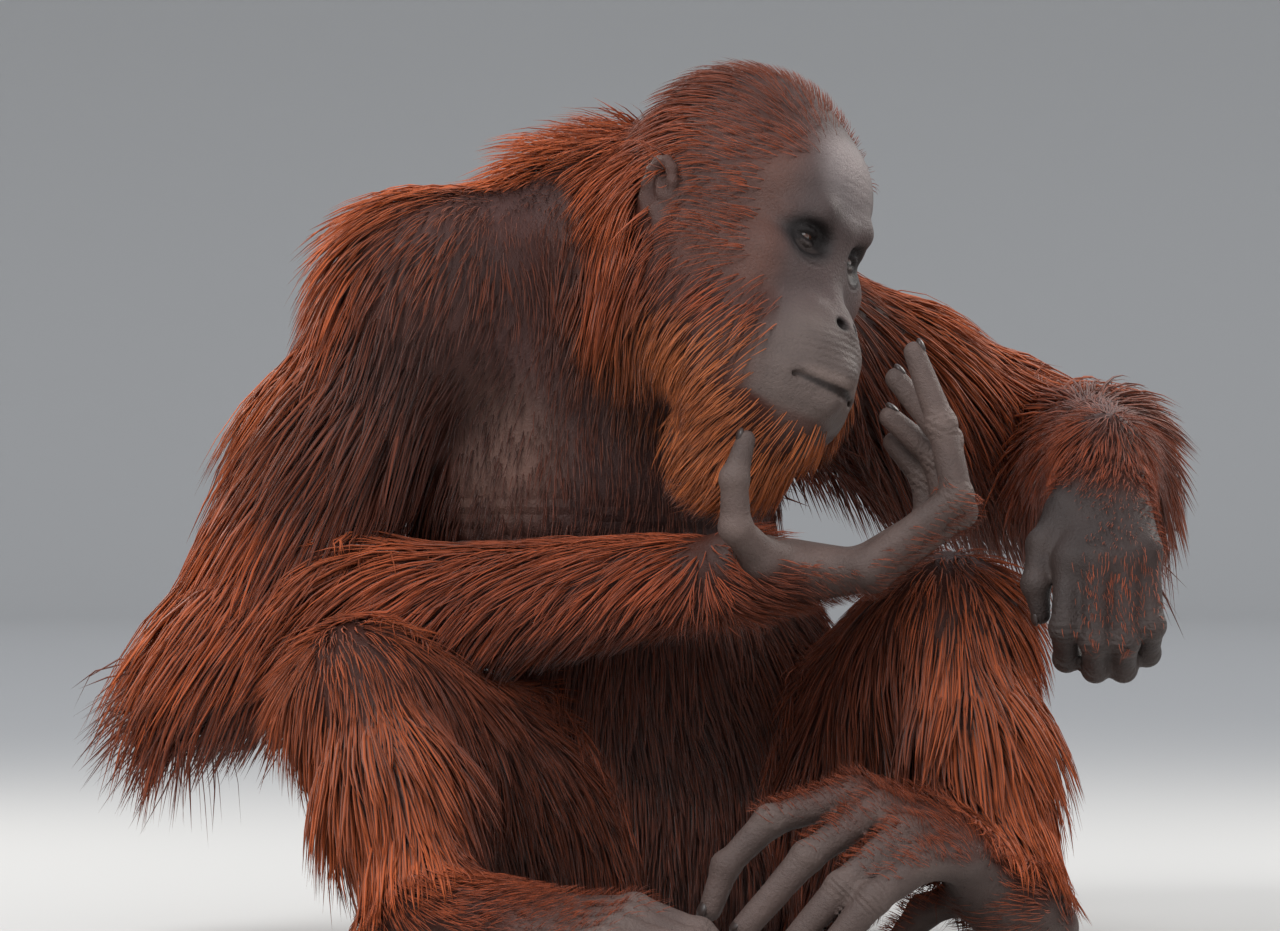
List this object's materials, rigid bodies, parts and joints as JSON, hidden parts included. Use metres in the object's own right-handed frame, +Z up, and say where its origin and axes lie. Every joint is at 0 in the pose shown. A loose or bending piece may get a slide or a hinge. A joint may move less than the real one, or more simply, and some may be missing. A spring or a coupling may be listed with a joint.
{
  "type": "orangutan",
  "caption": "Life-size still model of a seated orangutan, knees up, the right hand cupped below the mouth and the left one hanging, with a long reddish coat.",
  "frame": {"origin": "middle of the bounding box, on the floor under the seat", "axes": "+Z up, -Y the way the animal sits facing, +X its left"},
  "size_m": [0.8914, 0.7816, 0.7143],
  "materials": {
    "coat": "long soft hair",
    "skin": "bare creased skin",
    "eye": "wet gloss"
  },
  "bodies": {
    "root": {"torso": "coat", "neck": "coat", "head": "coat", "ear_right": "skin", "ear_left": "skin", "eye_right": "eye", "eye_left": "eye", "upper_arm_right": "coat", "forearm_right": "coat", "hand_right": "skin", "thigh_right": "coat", "shin_right": "coat", "foot_right": "skin", "upper_arm_left": "coat", "forearm_left": "coat", "hand_left": "skin", "thigh_left": "coat", "shin_left": "coat", "foot_left": "skin"}
  },
  "joints": []
}
